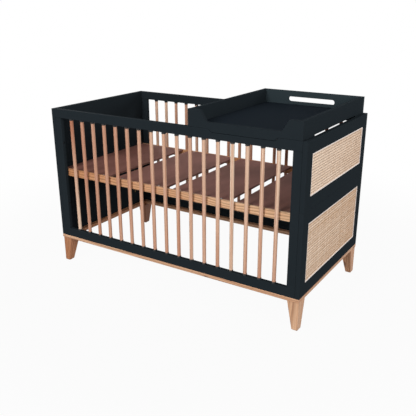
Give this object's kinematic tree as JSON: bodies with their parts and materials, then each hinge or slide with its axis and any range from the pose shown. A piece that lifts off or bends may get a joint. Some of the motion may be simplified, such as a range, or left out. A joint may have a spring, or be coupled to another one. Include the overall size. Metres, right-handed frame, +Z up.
{
  "type": "convertible crib",
  "caption": "Slatted crib with cane ends on a tapered-leg plinth, a hook-on mattress base and a lift-off changing tray.",
  "frame": {"origin": "on the floor under the middle of the crib", "axes": "+X along the crib towards the end with the tray, -Y the front with the tray's scooped edge, +Z up"},
  "size_m": [1.45, 0.746, 0.952],
  "materials": {
    "dark_paint": "satin blue-black lacquer on wood",
    "plinth_wood": "clear matt varnish on solid wood",
    "slat_wood": "clear matt varnish on solid wood",
    "base_wood": "planed solid wood",
    "board_film": "brown film-faced board",
    "dowel_wood": "plain beech",
    "cane": "closely woven natural cane",
    "reed": "natural reed spline",
    "socket_plastic": "black moulded",
    "glide_plastic": "grey nylon",
    "zinc_steel": "zinc plated",
    "black_steel": "black powder coat",
    "insert_brass": "plain"
  },
  "bodies": {
    "crib": {"plinth_rail_front": "plinth_wood", "plinth_rail_back": "plinth_wood", "plinth_rail_left": "plinth_wood", "plinth_rail_right": "plinth_wood", "leg_front_left": "plinth_wood", "leg_front_right": "plinth_wood", "leg_back_left": "plinth_wood", "leg_back_right": "plinth_wood", "leg_glides": "glide_plastic", "leg_screws": "zinc_steel", "plinth_screws": "zinc_steel", "end_left_lower": "dark_paint", "end_left_upper": "dark_paint", "end_right_lower": "dark_paint", "end_right_upper": "dark_paint", "cane_left_lower": "cane", "cane_left_upper": "cane", "cane_right_lower": "cane", "cane_right_upper": "cane", "spline_left_lower": "reed", "spline_left_upper": "reed", "spline_right_lower": "reed", "spline_right_upper": "reed", "end_dowels": "dowel_wood", "side_bolt_inserts": "insert_brass", "support_inserts": "insert_brass", "front_top_rail": "dark_paint", "front_bottom_rail": "dark_paint", "front_left_stile": "dark_paint", "front_right_stile": "dark_paint", "front_slats": "slat_wood", "front_slat_sockets": "socket_plastic", "back_top_rail": "dark_paint", "back_bottom_rail": "dark_paint", "back_left_stile": "dark_paint", "back_right_stile": "dark_paint", "back_slats": "slat_wood", "back_slat_sockets": "socket_plastic", "stile_dowels": "dowel_wood", "side_bolts": "black_steel", "support_bolts": "zinc_steel"},
    "tray": {"tray_front": "dark_paint", "tray_back": "dark_paint", "tray_left": "dark_paint", "tray_right": "dark_paint", "tray_floor": "dark_paint", "tray_dowels": "dowel_wood"},
    "mattress_base": {"base_front_rail": "base_wood", "base_back_rail": "base_wood", "base_left_rail": "base_wood", "base_right_rail": "base_wood", "base_board_1": "board_film", "base_board_2": "board_film", "base_board_3": "board_film", "base_board_4": "board_film", "base_board_screws": "zinc_steel", "base_rail_dowels": "dowel_wood", "hanger_plates": "black_steel", "hanger_screws": "zinc_steel"}
  },
  "joints": [
    {"name": "tray_lift", "type": "slide", "parent": "crib", "child": "tray", "axis": [0, 0, 1], "range_m": [0, 0.25]},
    {"name": "base_lift", "type": "slide", "parent": "crib", "child": "mattress_base", "axis": [0, 0, 1], "range_m": [0, 0.28]}
  ]
}
